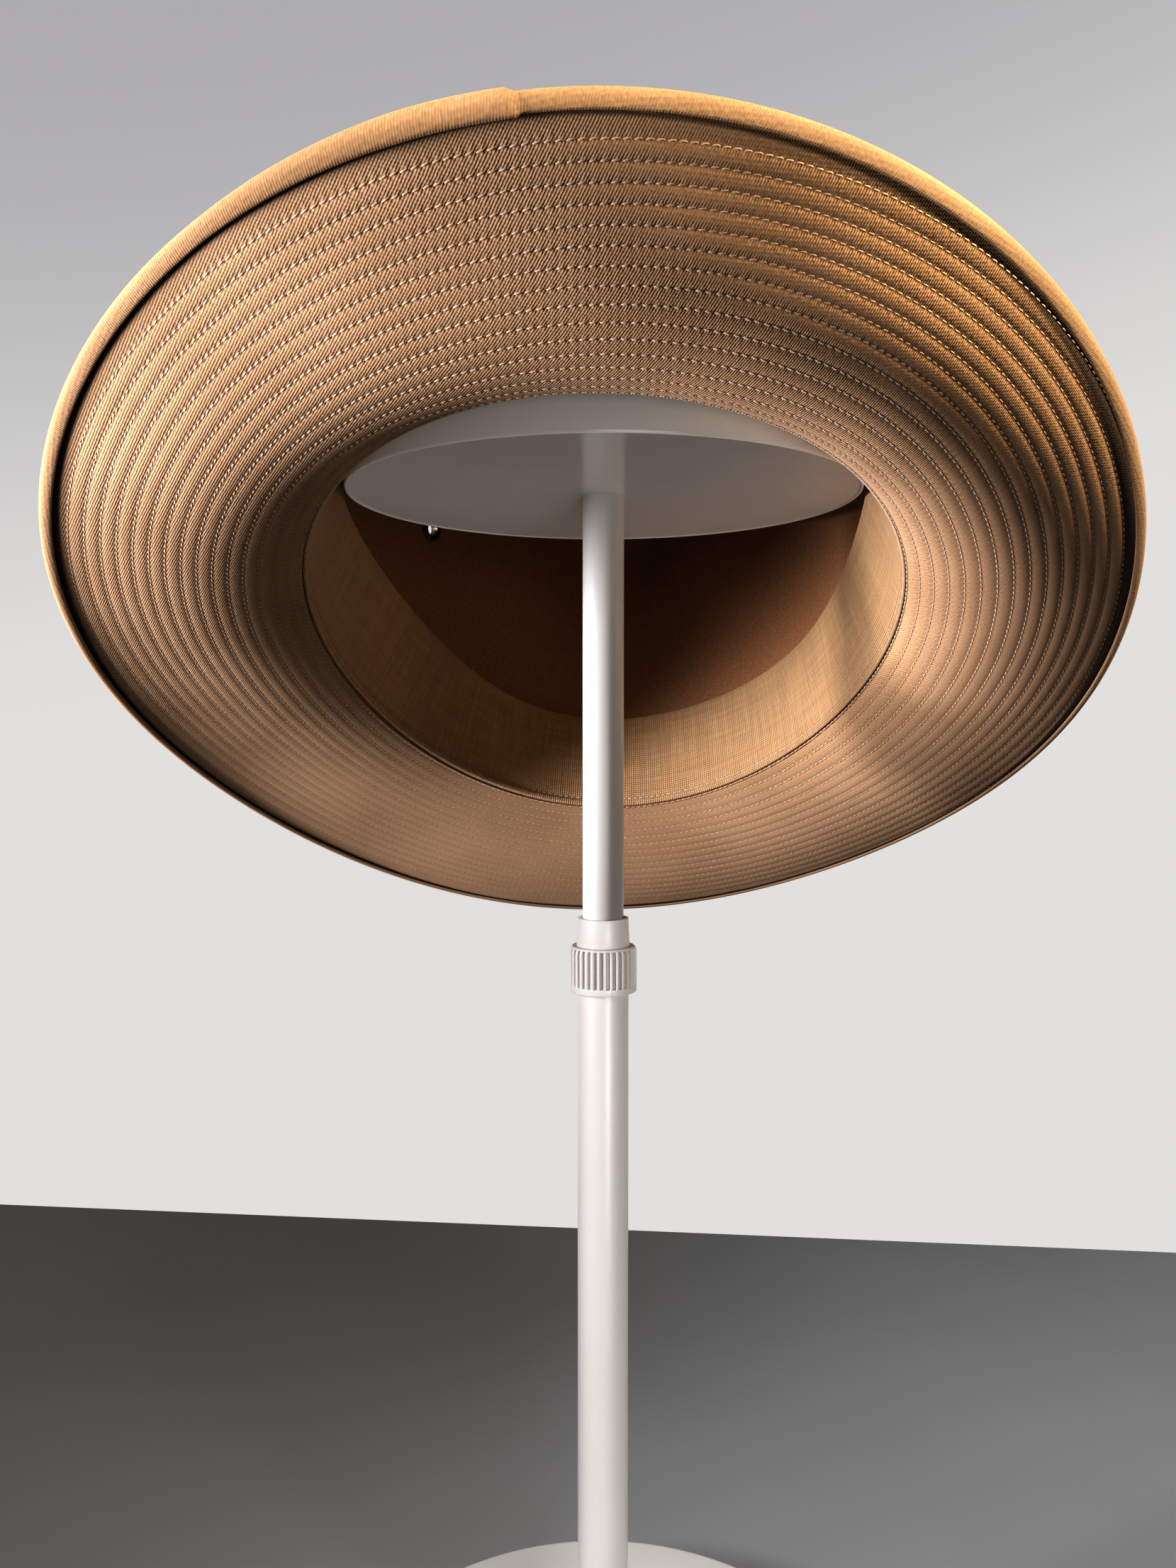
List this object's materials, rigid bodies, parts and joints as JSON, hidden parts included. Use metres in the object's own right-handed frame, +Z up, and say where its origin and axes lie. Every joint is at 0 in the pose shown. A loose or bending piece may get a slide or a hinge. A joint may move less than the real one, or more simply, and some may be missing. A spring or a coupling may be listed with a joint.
{
  "type": "fedora on a display stand",
  "caption": "Stitched twill fedora with a pinched crown and bound brim, tilted on a round-footed telescopic display stand.",
  "frame": {"origin": "centre of the flat underside of the stand's foot", "axes": "+Z up along the stand's tubes, the hat's front towards +Y and its back towards -Y, its left side towards -X"},
  "size_m": [0.2957, 0.2598, 0.4727],
  "materials": {
    "twill": "matt cotton twill, stitched in rows on the brim",
    "sweatband_tape": "plain-woven tape with a slight sheen",
    "eyelet_metal": "dark enamelled metal",
    "stand_plastic": "glossy off-white moulded plastic"
  },
  "bodies": {
    "root": {"crown": "twill", "brim": "twill", "brim_binding": "twill", "sweatband": "sweatband_tape", "eyelet_left": "eyelet_metal", "eyelet_right": "eyelet_metal", "stand_base": "stand_plastic", "stand_lower_tube": "stand_plastic", "stand_collar": "stand_plastic", "stand_sleeve": "stand_plastic", "stand_upper_tube": "stand_plastic", "stand_top": "stand_plastic"}
  },
  "joints": []
}
